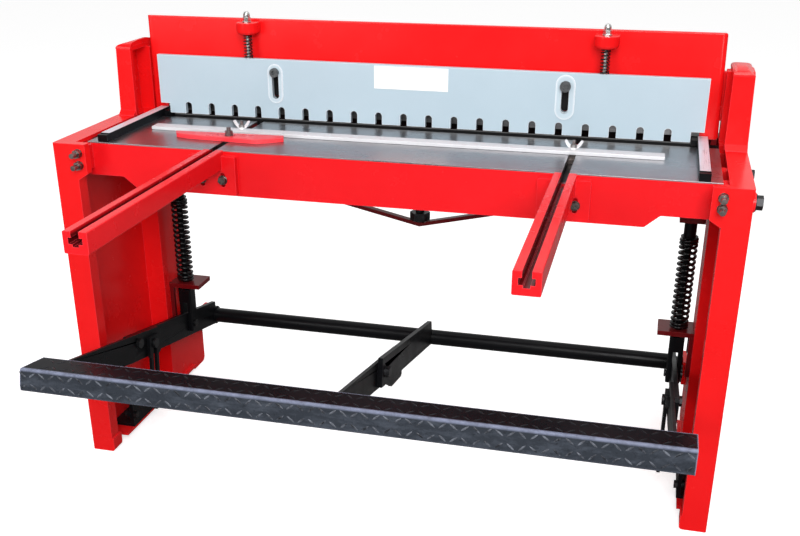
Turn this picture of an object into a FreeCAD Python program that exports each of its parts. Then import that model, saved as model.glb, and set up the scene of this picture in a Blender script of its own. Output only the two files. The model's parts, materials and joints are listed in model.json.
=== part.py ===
import FreeCAD, Part
import math
import os

# Foot-operated guillotine shear.  Millimetres, +X to the right as the operator
# sees it, +Y away from the operator, +Z up.  Lengths along Y are written from
# the table's front edge and along X from its middle, and shifted by X_SHIFT and
# Y_SHIFT, so that the origin is on the floor in the middle of the overall box.

# ---------------------------------------------------------------- dimensions
X_SHIFT = -4.7          # middle of the table to the origin
Y_SHIFT = 14.0          # table front edge to the origin

# side frames
FRAME_OUT = 770.0       # outer face of a side frame from the middle
FRAME_IN = 713.0        # inner edge of the legs
WEB_T = 8.0             # outer web
LEG_FRONT = -54.0       # front face of the legs
FLANGE_BACK = -20.0     # back of the front flange
EAR_BACK = -33.0        # back of the ears that hold the table
COL_FRONT = 306.0       # rear column
COL_IN = 711.0
COL_BACK = 430.0
FOOT_BACK = 518.0
CAP_IN = 722.0
FRAME_TOP = 806.0
POST_IN = 720.0
POST_OUT_LEFT = (763.5, 758.5)     # outer face of a post at its foot and at its top
POST_OUT_RIGHT = (770.0, 766.0)
POST_FRONT = 262.0
POST_BACK = 400.0
EAR_IN = 689.0

# table
EAR_BOLTS_LEFT = (706.5, (757.0, 785.0))
EAR_BOLTS_RIGHT = (711.0, (762.0, 785.0))
SIDE_BOLT_Y = 120.0
SIDE_BOLT_Z = 790.0
CLAMP_Z = 775.0
TABLE_HALF = 711.0
TABLE_TOP = 800.0
TABLE_T = 12.0
TABLE_BACK = 326.0
APRON_BOTTOM = 695.0
APRON_SIDE_BOTTOM = 722.0
SLOT_X = (-398.0, 393.0)    # the two tee slots
SLOT_W = 16.0
TEE_W = 28.0
TEE_BOTTOM = 776.0
SLOT_END = 300.0
CAVITY_END = 270.0
LIP_T = 3.0             # the plate in front of the apron

# blades and shear plane
SHEAR_Y = 336.0
BLADE_T = 10.0
BLADE_GAP = 0.4
LOWER_BLADE_HALF = 668.0
UPPER_BLADE_HALF = 664.0
UPPER_EDGE_LOW = 810.0
UPPER_EDGE_HIGH = 816.0

# blade beam
BEAM_HALF = 708.5
BEAM_LEFT = 706.0
BEAM_FRONT = 338.0
BEAM_PLATE = 14.0
BEAM_END_IN = 694.0
BEAM_BACK = 400.0
BEAM_TOP_LEFT = 1042.0
BEAM_TOP_RIGHT = 1048.0
BEAM_LEAN = 1.32        # the right end leans in towards the top (degrees)
BEAM_BOTTOM = 810.0

# hold-down
PLATE_LEFT = 670.5
PLATE_HALF = 675.5
PLATE_FRONT = 306.0
PLATE_T = 12.0
PLATE_BOTTOM = 808.0
PLATE_TOP = 952.5
NOTCHES = 20
NOTCH_PITCH = 62.6
NOTCH_W = 17.0
NOTCH_H = 29.0
HD_BOLT_X = (-357.0, 355.0)
HD_BOLT_Z = 922.0
HD_HEAD_R = (11.0, 12.5)
HD_PADS = ((19.0, 866.0, 922.0, 865.0), (22.0, 867.0, 925.0, 870.0))   # radius, pad's two centres, slot's lower centre
LUG_X = (-426.0, 440.0)
LUG_R = (26.0, 28.0)
LUG_Z0 = 1009.0
LUG_Z1 = 1038.0
ROD_Y = 312.0

# return springs and pull rods
PULL_X = 673.0
PULL_Y = 360.0
PULL_R = 8.0
SEAT_TOP = 322.0
SPRING_TOP = 565.0
SPRING_MEAN_R = 19.2
SPRING_WIRE_R = 3.8
SPRING_TURNS = 18.0
DROP_BOTTOM = 604.0

# treadle
BEARING_BOLT_Y = 477.0
BEARING_BOLT_Z = (126.0, 156.0)
TUBE_Y = 536.0
TUBE_Z = 146.0
TUBE_R = 21.5
JOURNAL_R = 13.5
RUN_GAP = 0.06
BAR_HALF = 702.0
BAR_FRONT = -404.0
BAR_BACK = -342.0
BAR_BOTTOM = 351.8
BAR_TOP = 407.0
STUB_X = (667.0, 679.0)
ARM_X = (659.0, 667.0)
PIN_Y = 360.0
PIN_Z = 195.0
TREADLE_DEG = 12.0

# stop links
LINK_X = (650.0, 658.0)
LINK_TOP_Y = 105.0
LINK_TOP_Z = 246.0
LINK_FOOT_Y = 88.0
LINK_FOOT_Z = 81.0

# front support arms
ARM_TIP = -600.0
ARM_HALF = 24.0
ARM_BOTTOM = 758.0

# table stops
BAR_Y = (154.0, 188.0)
STOP_BOLT_Y = 176.0
GAUGE_BOLT_Y = 95.0

V = FreeCAD.Vector
os.makedirs("parts", exist_ok=True)


# ---------------------------------------------------------------- helpers
def box(x0, x1, y0, y1, z0, z1):
    return Part.makeBox(x1 - x0, y1 - y0, z1 - z0, V(x0, y0, z0))


def cyl(x, y, z, r, length, axis="z"):
    d = {"x": V(1, 0, 0), "y": V(0, 1, 0), "z": V(0, 0, 1)}[axis]
    return Part.makeCylinder(r, length, V(x, y, z), d)


def cone(x, y, z, r0, r1, length, axis="z"):
    d = {"x": V(1, 0, 0), "y": V(0, 1, 0), "z": V(0, 0, 1)}[axis]
    return Part.makeCone(r0, r1, length, V(x, y, z), d)


def hexagon(x, y, z, across, length, axis="z", turn=0.0):
    r = across / math.sqrt(3.0)
    pts = []
    for i in range(7):
        a = math.radians(60.0 * i + turn)
        u, v = r * math.cos(a), r * math.sin(a)
        if axis == "z":
            pts.append(V(x + u, y + v, z))
        elif axis == "y":
            pts.append(V(x + u, y, z + v))
        else:
            pts.append(V(x, y + u, z + v))
    d = {"x": V(length, 0, 0), "y": V(0, length, 0), "z": V(0, 0, length)}[axis]
    return Part.Face(Part.makePolygon(pts)).extrude(d)


def prism_x(pts, x0, x1):
    p = [V(x0, a, b) for a, b in pts]
    return Part.Face(Part.makePolygon(p + [p[0]])).extrude(V(x1 - x0, 0, 0))


def prism_y(pts, y0, y1):
    p = [V(a, y0, b) for a, b in pts]
    return Part.Face(Part.makePolygon(p + [p[0]])).extrude(V(0, y1 - y0, 0))


def prism_z(pts, z0, z1):
    p = [V(a, b, z0) for a, b in pts]
    return Part.Face(Part.makePolygon(p + [p[0]])).extrude(V(0, 0, z1 - z0))


def mirror(shape):
    return shape.mirror(V(0, 0, 0), V(1, 0, 0))


def fuse(items):
    out = items[0]
    for other in items[1:]:
        out = out.fuse(other)
    return out.removeSplitter()


def cut(base, tools):
    for t in tools:
        base = base.cut(t)
    return base


def round_edges(shape, radius, test):
    chosen = []
    for e in shape.Edges:
        if test(e):
            chosen.append(e)
    if not chosen:
        return shape
    try:
        return shape.makeFillet(radius, chosen)
    except Exception:
        return shape


def vertical(e):
    if len(e.Vertexes) != 2:
        return False
    a, b = e.Vertexes[0].Point, e.Vertexes[1].Point
    return abs(a.x - b.x) < 1e-6 and abs(a.y - b.y) < 1e-6 and abs(a.z - b.z) > 1e-6


def along(e, axis):
    if len(e.Vertexes) != 2:
        return False
    a, b = e.Vertexes[0].Point, e.Vertexes[1].Point
    d = (abs(a.x - b.x), abs(a.y - b.y), abs(a.z - b.z))
    i = "xyz".index(axis)
    return d[i] > 1e-6 and all(d[j] < 1e-6 for j in range(3) if j != i)


def at(e, **want):
    c = e.CenterOfMass
    for k, v in want.items():
        if abs(getattr(c, k) - v) > 0.6:
            return False
    return True


def coil(x, y, z0, z1, mean_r, wire_r, turns, closed=1.25):
    """Round-wire compression spring with closed ends."""
    tight = wire_r * 2.12
    body = (z1 - z0 - 2 * wire_r - 2 * closed * tight) / (turns - 2 * closed)

    def height(t):
        if t < closed:
            return t * tight
        if t > turns - closed:
            return (closed * tight + (turns - 2 * closed) * body
                    + (t - turns + closed) * tight)
        return closed * tight + (t - closed) * body

    per = 16
    n = int(turns * per)
    pts = []
    for i in range(n + 1):
        t = turns * i / n
        lo, hi = max(0.0, t - 0.25), min(turns, t + 0.25)
        h = 0.25 * height(lo) + 0.5 * height(t) + 0.25 * height(hi)
        a = 2 * math.pi * t
        pts.append(V(x + mean_r * math.cos(a), y + mean_r * math.sin(a), z0 + wire_r + h))
    curve = Part.BSplineCurve()
    curve.interpolate(pts)
    path = Part.Wire(curve.toShape())
    tangent = (pts[1] - pts[0]).normalize()
    profile = Part.Wire(Part.makeCircle(wire_r, pts[0], tangent))
    shape = path.makePipeShell([profile], True, True)
    if shape.ShapeType != "Solid":
        shape = Part.Solid(shape)
    if shape.Volume < 0:
        shape.reverse()
    return shape


def export(name, solids):
    if not isinstance(solids, (list, tuple)):
        solids = [solids]
    flat = []
    for s in solids:
        flat.extend(s.Solids)
    moved = []
    for s in flat:
        s = s.copy()
        s.translate(V(X_SHIFT, Y_SHIFT, 0))
        moved.append(s)
    shape = moved[0] if len(moved) == 1 else Part.makeCompound(moved)
    shape.exportStep("parts/%s.step" % name)
    bad = [i for i, s in enumerate(moved) if not s.isValid() or s.Volume <= 0]
    print("%-24s solids %3d  volume %10.0f %s" % (name, len(moved), sum(s.Volume for s in moved),
                                                 "BAD %s" % bad if bad else ""))


def pair(shape):
    return [mirror(shape), shape]


# ---------------------------------------------------------------- side frames
def rounded_foot(y_back, z_top):
    """Rear edge of the foot with its lower corner rounded."""
    pts = []
    for i in range(7):
        a = math.radians(-90.0 + 15.0 * i)
        pts.append((y_back - 15.0 + 15.0 * math.cos(a), 15.0 + 15.0 * math.sin(a)))
    return pts + [(y_back, z_top)]


def side_frame(clamp):
    x_web = FRAME_OUT - WEB_T
    web = prism_x([(LEG_FRONT, 0), (-24, 0), (-14, 14), (440, 14), (447, 0)] + rounded_foot(FOOT_BACK, 130)
                  + [(COL_BACK, 270), (COL_BACK, 770), (POST_BACK, FRAME_TOP), (LEG_FRONT, FRAME_TOP)],
                  x_web, FRAME_OUT)
    flange = box(FRAME_IN, FRAME_OUT, LEG_FRONT, FLANGE_BACK, 30, FRAME_TOP - 8)
    toe = prism_x([(LEG_FRONT, 0), (-22, 0), (-14, 5), (-12, 14), (-12, 36), (LEG_FRONT, 36)], 709, FRAME_OUT)
    toe = round_edges(toe, 8.0, lambda e: along(e, "y") and abs(e.CenterOfMass.x - 709) < 0.1
                      and abs(e.CenterOfMass.z) < 0.1)
    shelf = box(702, x_web, 8, 436, 14, 22)
    ear = prism_y([(EAR_IN, FRAME_TOP), (FRAME_OUT, FRAME_TOP), (FRAME_OUT, 722), (FRAME_IN, 722),
                   (EAR_IN, 737)], LEG_FRONT, EAR_BACK)
    cap = box(CAP_IN, FRAME_OUT, EAR_BACK, COL_FRONT + 8, FRAME_TOP - 8, FRAME_TOP)
    cap2 = box(COL_IN, FRAME_OUT, COL_FRONT, POST_BACK, FRAME_TOP - 8, FRAME_TOP)
    inner = prism_x([(COL_FRONT, 14), (440, 14), (447, 0)] + rounded_foot(FOOT_BACK, 130)
                    + [(COL_BACK, 270), (COL_BACK, 770), (POST_BACK, FRAME_TOP), (COL_FRONT, FRAME_TOP)],
                    COL_IN, COL_IN + 8)
    col_front = box(COL_IN, x_web, COL_FRONT, COL_FRONT + 8, 16, FRAME_TOP)
    col_back = prism_x([(COL_BACK, 270), (COL_BACK, 770), (POST_BACK, FRAME_TOP),
                        (POST_BACK - 10, FRAME_TOP), (COL_BACK - 8, 767), (COL_BACK - 8, 272)],
                       COL_IN + 8, x_web)
    flare = prism_x([(FOOT_BACK, 15), (FOOT_BACK, 130), (COL_BACK, 270), (COL_BACK - 8, 272),
                     (COL_BACK - 8, 262), (FOOT_BACK - 8, 126), (FOOT_BACK - 8, 15)],
                    COL_IN + 8, x_web)
    sole = prism_x([(447, 0)] + rounded_foot(FOOT_BACK, 16) + [(447, 16)], COL_IN, FRAME_OUT)
    s = fuse([web, flange, toe, shelf, ear, cap, cap2, inner, col_front, col_back, flare, sole])
    s = round_edges(s, 4.0, lambda e: vertical(e) and at(e, x=FRAME_OUT, y=LEG_FRONT))
    holes = []
    bolt_x, bolt_z = EAR_BOLTS_RIGHT if clamp else EAR_BOLTS_LEFT
    for z in bolt_z:
        holes.append(cyl(bolt_x, LEG_FRONT - 2, z, 6.0, 60, "y"))        # ear bolts
    if clamp:
        s = s.fuse(cyl(FRAME_OUT - 2, -36, CLAMP_Z, 20.0, 5, "x")).removeSplitter()
        holes.append(cyl(742, -36, CLAMP_Z, 10.0, 40, "x"))              # clamping bolt
    holes.append(cyl(755, SIDE_BOLT_Y, SIDE_BOLT_Z, 6.0, 20, "x"))       # small side bolt
    for z in BEARING_BOLT_Z:
        holes.append(cyl(705, BEARING_BOLT_Y, z, 5.0, 20, "x"))          # bearing plate screws
    return cut(s, holes)


export("side_frame_right", side_frame(True))
export("side_frame_left", mirror(side_frame(False)))


def frame_post(out, top):
    """Hollow post welded on a side frame, open to the beam, with a curved lid.
    out: outer face at the foot and at the top; top: the lid's section across."""
    x_foot, x_top = out
    post = prism_x([(POST_FRONT, FRAME_TOP), (POST_BACK, FRAME_TOP), (POST_BACK, 967), (370, 973),
                    (330, 977), (280, 976), (POST_FRONT, 969)], POST_IN, FRAME_OUT + 5)
    post = post.common(prism_y([(POST_IN, FRAME_TOP), (x_foot, FRAME_TOP), (x_top, 970), (x_top, 990),
                                (POST_IN, 990)], POST_FRONT - 5, POST_BACK + 5))
    lid = prism_x([(POST_FRONT - 0.8, 969), (POST_FRONT - 0.8, 973), (264.5, 979), (270, 982), (280, 984.5),
                   (305, 987), (330, 988), (352, 986.5), (370, 983.5), (394, 977), (POST_BACK + 0.8, 974),
                   (POST_BACK + 0.8, 967), (370, 972), (330, 976), (280, 975)], POST_IN - 0.8, x_top + 0.8)
    lid = lid.common(prism_y([(POST_IN - 0.8, 960), (x_top + 0.8, 960)] + [(x_top + a, b) for a, b in top],
                             POST_FRONT - 5, POST_BACK + 5))
    post = post.fuse(lid)
    post = post.cut(box(POST_IN - 2, x_top - 10, POST_FRONT + 12, POST_BACK - 12, FRAME_TOP - 1, 965))
    bead = prism_x([(POST_FRONT + 1, FRAME_TOP), (POST_FRONT + 1, FRAME_TOP + 13),
                    (POST_FRONT - 12, FRAME_TOP)], CAP_IN, x_foot)
    return fuse([post, bead])


LID_LEFT = [(0.8, 969), (0.2, 973), (-2.5, 976.5), (-8.0, 979.5), (-18.0, 982.5), (-30.0, 985.0), (-39.3, 987.0)]
LID_RIGHT = [(0.8, 966), (0.3, 970), (-2.5, 974.5), (-8.0, 978.0), (-16.0, 980.0), (-36.0, 980.5), (-42.0, 979.0),
             (-45.5, 975.5), (-46.8, 971)]
export("frame_posts", [mirror(frame_post(POST_OUT_LEFT, LID_LEFT)), frame_post(POST_OUT_RIGHT, LID_RIGHT)])

# ---------------------------------------------------------------- table
plate = box(-TABLE_HALF, TABLE_HALF, 0, TABLE_BACK, TABLE_TOP - TABLE_T, TABLE_TOP)
plate = round_edges(plate, 1.0, lambda e: along(e, "x") and at(e, y=0.0, z=TABLE_TOP))
plate = plate.cut(box(-TABLE_HALF - 1, TABLE_HALF + 1, -1, 12, TABLE_TOP - TABLE_T - 1, TABLE_TOP - LIP_T))
for sx in SLOT_X:
    plate = plate.cut(box(sx - SLOT_W / 2, sx + SLOT_W / 2, -1, SLOT_END, TABLE_TOP - TABLE_T - 1, TABLE_TOP + 1))
    plate = plate.cut(cyl(sx, SLOT_END, TABLE_TOP - TABLE_T - 1, SLOT_W / 2, TABLE_T + 2))
for s, bolts in ((-1, EAR_BOLTS_LEFT), (1, EAR_BOLTS_RIGHT)):
    plate = plate.cut(cyl(s * bolts[0], -1, 785, 6.0, 50, "y"))
    for y in (40.0, 170.0, 300.0):
        plate = plate.cut(cyl(s * 674, y, TABLE_TOP - TABLE_T - 1, 4.0, TABLE_T + 2))
        plate = plate.cut(cyl(s * 674, y, TABLE_TOP - TABLE_T - 1, 7.0, 7.0))
export("table_plate", plate)

channels = []
for sx in SLOT_X:
    c = box(sx - 22, sx + 22, 12, 276, 764, 788)
    c = c.cut(box(sx - TEE_W / 2, sx + TEE_W / 2, 11, CAVITY_END, TEE_BOTTOM, 789))
    channels.append(c)
export("tee_slot_channels", channels)

APRON_TOP = TABLE_TOP - LIP_T
apron = prism_y([(-TABLE_HALF, APRON_TOP), (TABLE_HALF, APRON_TOP), (TABLE_HALF, APRON_SIDE_BOTTOM),
                 (594, APRON_SIDE_BOTTOM), (563, APRON_BOTTOM), (-594, APRON_BOTTOM),
                 (-628, APRON_SIDE_BOTTOM), (-TABLE_HALF, APRON_SIDE_BOTTOM)], 0, 12)
apron = round_edges(apron, 9.0, lambda e: along(e, "y") and abs(e.CenterOfMass.x) < 640)


def side_box(s, x0, x1, *rest):
    return box(x0, x1, *rest) if s > 0 else box(-x1, -x0, *rest)


blocks = []
for s in (-1, 1):
    blocks.append(side_box(s, 700, FRAME_IN, EAR_BACK, 0, 740, 796))
    blocks.append(side_box(s, TABLE_HALF, 736, FLANGE_BACK, 40, 740, 796))
apron = fuse([apron] + blocks)
for sx in SLOT_X:
    apron = apron.cut(box(sx - TEE_W / 2, sx + TEE_W / 2, -1, 13, TEE_BOTTOM, 788))
    apron = apron.cut(box(sx - SLOT_W / 2, sx + SLOT_W / 2, -1, 13, 787, APRON_TOP + 1))
    for dx in (-25, 25):
        apron = apron.cut(cyl(sx + dx, -2, 735, 5.0, 20, "y"))
for s, bolts in ((-1, EAR_BOLTS_LEFT), (1, EAR_BOLTS_RIGHT)):
    for z in bolts[1]:
        apron = apron.cut(cyl(s * bolts[0], EAR_BACK - 1, z, 6.0, 80, "y"))
export("table_apron", apron)

ribs = [box(x - 5, x + 5, 12, 290, 724, 788) for x in (-560, -240, -80, 80, 240, 560)]
for s in (-1, 1):
    ribs.append(side_box(s, 700, TABLE_HALF, 50, 290, APRON_SIDE_BOTTOM, 788))
    ribs.append(side_box(s, TABLE_HALF, 762, 105, 135, 766, 798).cut(
        cyl(720 if s > 0 else -763.5, SIDE_BOLT_Y, SIDE_BOLT_Z, 6.0, 43.5, "x")))
    ribs.append(side_box(s, TABLE_HALF, 760, 290, COL_FRONT, 740, 788))
support = box(-745, 745, COL_BACK, COL_BACK + 6, 700, 798)
support = support.fuse(box(-745, 745, COL_BACK, COL_BACK + 36, 792, 798)).removeSplitter()
support = round_edges(support, 4.0, lambda e: along(e, "x") and at(e, y=COL_BACK, z=798.0))
ribs.append(support)
export("table_ribs", ribs)

blade_x = [-600 + 150 * i for i in range(9)]
bed = box(-TABLE_HALF, TABLE_HALF, 290, TABLE_BACK, 700, 788)
for x in blade_x:
    bed = bed.cut(cyl(x, 300, 780, 5.0, 40, "y"))
bed = bed.cut(cyl(12, 309, 690, 11.0, 30))
export("rear_bed", bed)

lower = box(-LOWER_BLADE_HALF, LOWER_BLADE_HALF, TABLE_BACK, SHEAR_Y, 760, TABLE_TOP)
for x in blade_x:
    lower = lower.cut(cyl(x, TABLE_BACK - 1, 780, 5.0, 12, "y"))
    lower = lower.cut(cyl(x, TABLE_BACK + 4, 780, 8.0, 12, "y"))
export("lower_blade", lower)
screws = []
for x in blade_x:
    b = cyl(x, 302, 780, 5.0, 29, "y").fuse(cyl(x, TABLE_BACK + 4, 780, 8.0, 5.4, "y"))
    b = b.cut(hexagon(x, TABLE_BACK + 6, 780, 8.0, 5, "y"))
    screws.append(b)
export("lower_blade_screws", screws)

# studs that hold the table in the side frames
ear = []
for s, bolts in ((-1, EAR_BOLTS_LEFT), (1, EAR_BOLTS_RIGHT)):
    for z in bolts[1]:
        x = s * bolts[0]
        b = fuse([cyl(x, LEG_FRONT - 2, z, 10.5, 2, "y"),
                  hexagon(x, LEG_FRONT - 12, z, 18.0, 10, "y", 15.0),
                  cyl(x, LEG_FRONT - 30, z, 6.0, 94 + 30, "y")])
        ear.append(b)
export("table_ear_bolts", ear)

big = fuse([cyl(FRAME_OUT + 3, -36, CLAMP_Z, 18.0, 2, "x"), hexagon(FRAME_OUT + 5, -36, CLAMP_Z, 26.0, 13, "x", 10.0),
            cyl(743, -36, CLAMP_Z, 10.0, 36, "x")])
export("side_clamp_bolt", big)

small = fuse([cyl(FRAME_OUT, SIDE_BOLT_Y, SIDE_BOLT_Z, 11.0, 1.6, "x"),
              hexagon(FRAME_OUT + 1.6, SIDE_BOLT_Y, SIDE_BOLT_Z, 19.0, 7.0, "x", 20.0),
              cyl(724, SIDE_BOLT_Y, SIDE_BOLT_Z, 6.0, 50, "x")])
export("side_lug_bolts", pair(small))

# truss bar under the rear bed with its setting screw
truss = prism_y([(-640, 700), (-602, 700), (12, 566), (602, 700), (640, 700), (640, 690), (599, 690),
                 (12, 556), (-599, 690), (-640, 690)], 300, 318)
truss = truss.cut(box(-4, 28, 299, 319, 567, 580))
export("truss_bar", truss)
tscrew = fuse([cyl(12, 309, 567, 11.0, 146), hexagon(12, 309, 577, 44.0, 16, "z", 8.0),
               cyl(12, 309, 574, 25.0, 3)])
export("truss_screw", tscrew)

# ---------------------------------------------------------------- front arms
arm_bolts = []
for name, sx in (("front_arm_left", SLOT_X[0]), ("front_arm_right", SLOT_X[1])):
    rail = box(sx - ARM_HALF, sx + ARM_HALF, ARM_TIP, 0, ARM_BOTTOM, TABLE_TOP)
    rail = round_edges(rail, 2.5, lambda e: along(e, "y"))
    flange = box(sx - 56, sx + 56, -14, 0, 700, 789)
    flange = round_edges(flange, 4.0, lambda e: along(e, "y"))
    arm = rail.fuse(flange)
    arm = arm.cut(box(sx - SLOT_W / 2, sx + SLOT_W / 2, ARM_TIP - 1, 1, 787, 802))
    arm = arm.cut(box(sx - TEE_W / 2, sx + TEE_W / 2, ARM_TIP - 1, 1, TEE_BOTTOM, 788))
    arm = arm.cut(box(sx - 6, sx + 6, ARM_TIP - 1, 1, TEE_BOTTOM - 5, TEE_BOTTOM + 1))
    for dx in (-25, 25):
        arm = arm.cut(fuse([cyl(sx + dx, -20, 723.5, 5.5, 24, "y"), cyl(sx + dx, -20, 746.5, 5.5, 24, "y"),
                            box(sx + dx - 5.5, sx + dx + 5.5, -20, 4, 723.5, 746.5)]))
        arm_bolts.append(fuse([cyl(sx + dx, -16, 735, 11.0, 2, "y"),
                               hexagon(sx + dx, -23, 735, 17.0, 7, "y", 12.0),
                               cyl(sx + dx, -14, 735, 5.0, 32, "y"),
                               hexagon(sx + dx, 12, 735, 17.0, 6, "y", 0.0)]))
    export(name, arm)
export("arm_bolts", arm_bolts)

# ---------------------------------------------------------------- side gauges on the table
gauge = box(662, 686, 4, 333, TABLE_TOP, 818)
gauge = gauge.cut(box(660, 690, 0, 19, 816.2, 830))
gauge = round_edges(gauge, 1.5, lambda e: along(e, "y") and e.CenterOfMass.z > 817)
gauge_screw = []
for y in (40.0, 170.0, 300.0):
    gauge = gauge.cut(cyl(674, y, TABLE_TOP - 1, 4.0, 12.0))
    q = fuse([cyl(674, y, 788.4, 7.0, 5.6), cyl(674, y, 790, 4.0, 20.0)])
    q = q.cut(hexagon(674, y, 787.0, 6.0, 4.4))
    gauge_screw.append(q)
export("side_gauges", pair(gauge) + pair(box(648, 662, 300, 333, TABLE_TOP, 814)))
export("side_gauge_screws", [g for q in gauge_screw for g in (mirror(q), q)])

# ---------------------------------------------------------------- spring seats, tube bearings, foot brackets
seat = box(622, COL_IN, 332, 410, 310, SEAT_TOP)
seat = seat.fuse(box(701, COL_IN, 334, 346, 200, 310))
seat = seat.fuse(box(701, COL_IN, 396, 408, 240, 310))
seat = seat.cut(cyl(PULL_X, PULL_Y, 300, PULL_R + 2.0, 30)).removeSplitter()
export("spring_seats", pair(seat))

bearing = prism_x([(468, 116), (474, 110), (546, 110), (564, 128), (564, 164), (552, 176), (474, 176),
                   (468, 170)], 701, COL_IN)
bearing = bearing.cut(cyl(700, TUBE_Y, TUBE_Z, JOURNAL_R + RUN_GAP, 14, "x"))
for z in BEARING_BOLT_Z:
    bearing = bearing.cut(cyl(700, BEARING_BOLT_Y, z, 5.0, 14, "x"))
export("tube_bearings", pair(bearing))

# brackets on the bottom shelf of the side frames, on which the stop links turn
BRACKET_BOLTS = ((50.0, 55.0), (134.0, 55.0))
bracket = fuse([box(700, 710, 42, 150, 22, 126), box(709, FRAME_OUT - WEB_T, 42, 150, 22, 30),
                box(709, FRAME_OUT - WEB_T, 42, 150, 118, 126)]
               + [cyl(709, y, z, 12.0, 9, "x") for y, z in BRACKET_BOLTS])
bracket = bracket.cut(cyl(699, LINK_FOOT_Y, LINK_FOOT_Z, 8.0, 12, "x"))
for y, z in BRACKET_BOLTS:
    bracket = bracket.cut(cyl(699, y, z, 5.0, 22, "x"))
export("foot_brackets", pair(bracket))


def bracket_bolt(x, y, z):
    return fuse([hexagon(x - 8, y, z, 17.0, 8, "x", 12.0), cyl(x - 1, y, z, 5.0, 27, "x"),
                 hexagon(x + 18, y, z, 17.0, 7, "x")])


bb = [bracket_bolt(701, BEARING_BOLT_Y, z) for z in BEARING_BOLT_Z] + [bracket_bolt(700, y, z) for y, z in BRACKET_BOLTS]
export("bracket_bolts", [g for q in bb for g in (mirror(q), q)])
stud = fuse([cyl(644, LINK_FOOT_Y, LINK_FOOT_Z, 12.0, 5.4, "x"),
             cyl(645, LINK_FOOT_Y, LINK_FOOT_Z, 8.0, 66, "x"),
             cyl(658.6, LINK_FOOT_Y, LINK_FOOT_Z, 12.0, 41.4, "x"),
             hexagon(710, LINK_FOOT_Y, LINK_FOOT_Z, 24.0, 10, "x")])
export("foot_studs", pair(stud))

rail_r = box(COL_IN, 748, 347, 383, FRAME_TOP, 965)
rail_r = rail_r.cut(box(COL_IN - 1, 732, 357, 373, FRAME_TOP - 1, 966))
export("guide_rails", pair(rail_r))

# ---------------------------------------------------------------- blade beam
beam = prism_y([(-BEAM_LEFT, BEAM_BOTTOM), (BEAM_HALF, BEAM_BOTTOM), (BEAM_HALF, BEAM_TOP_RIGHT),
                (-BEAM_LEFT, BEAM_TOP_LEFT)], BEAM_FRONT, BEAM_FRONT + BEAM_PLATE)
beam = round_edges(beam, 3.0, lambda e: e.CenterOfMass.z > 1044 and e.CenterOfMass.y < BEAM_FRONT + 1
                   and e.Length > 1000)
end = box(BEAM_END_IN, BEAM_HALF, BEAM_FRONT, BEAM_BACK, BEAM_BOTTOM, 1030)
end_left = box(-BEAM_LEFT, -BEAM_END_IN, BEAM_FRONT, BEAM_BACK, BEAM_BOTTOM, 1030)
beam = fuse([beam, end, end_left])
for s, half in ((-1, BEAM_LEFT), (1, BEAM_HALF)):
    corner = side_box(s, half - 11.5, half + 1, BEAM_FRONT - 1, BEAM_FRONT + 11.5, 800, 1060)
    corner = corner.cut(cyl(s * (half - 11.5), BEAM_FRONT + 11.5, 790, 11.5, 280))
    if s > 0:
        corner = corner.fuse(box(half, half + 40, BEAM_FRONT - 1, BEAM_BACK + 1, 790, 1070))
        corner.rotate(V(half, 0, BEAM_BOTTOM), V(0, 1, 0), -BEAM_LEAN)
    beam = beam.cut(corner)
    beam = beam.cut(side_box(s, half - 8, half + 1, BEAM_FRONT - 1, 401, 809, 818).cut(
        cyl(s * (half - 8), BEAM_FRONT - 2, 818, 8.0, 70, "y")))
top_corner = box(697.6, 712, BEAM_FRONT - 1, BEAM_FRONT + BEAM_PLATE + 1, 1042.6, 1060)
beam = beam.cut(top_corner.cut(cyl(697.6, BEAM_FRONT - 2, 1042.6, 5.4, 20, "y")))
back_y = SHEAR_Y + BLADE_GAP + BLADE_T
recess = box(-UPPER_BLADE_HALF - 2, UPPER_BLADE_HALF + 2, BEAM_FRONT - 1, back_y, BEAM_BOTTOM - 1, 858)
lowcut = box(-UPPER_BLADE_HALF - 2, UPPER_BLADE_HALF + 2, BEAM_FRONT - 1, BEAM_FRONT + BEAM_PLATE + 1,
             BEAM_BOTTOM - 1, 834)
beam = beam.cut(recess).cut(lowcut)
tongue = box(704, 730, 357.4, 372.6, 850, 962)
beam = fuse([beam, tongue, mirror(tongue)])
rib_y = BEAM_FRONT + BEAM_PLATE
beam_ribs = [box(-BEAM_END_IN, BEAM_END_IN, rib_y, 374, 834, 872),
             box(-BEAM_END_IN, BEAM_END_IN, rib_y, 420, 930, 942)]
for x in (-520, -260, 0, 260, 520):
    beam_ribs.append(prism_x([(rib_y, 872), (374, 872), (420, 930), (rib_y, 930)], x - 5, x + 5))
    beam_ribs.append(prism_x([(rib_y, 942), (420, 942), (374, 1010), (rib_y, 1010)], x - 5, x + 5))
upper_x = [-600 + 150 * i for i in range(9)]
for x in upper_x:
    beam = beam.cut(cyl(x, back_y - 1, 846, 5.0, 22, "y"))
    beam_ribs[0] = beam_ribs[0].cut(cyl(x, back_y - 1, 846, 5.0, 22, "y"))
for x in HD_BOLT_X:
    beam = beam.cut(cyl(x, BEAM_FRONT - 1, HD_BOLT_Z, 7.0, 16, "y"))
for s in (-1, 1):
    for z in (832.0, 866.0):
        beam = beam.cut(cyl(690 if s > 0 else -BEAM_LEFT, 388, z, 6.0, BEAM_LEFT - 690, "x"))
beam = max(beam.Solids, key=lambda q: q.Volume)
export("blade_beam", beam)
export("beam_ribs", beam_ribs)

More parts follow.
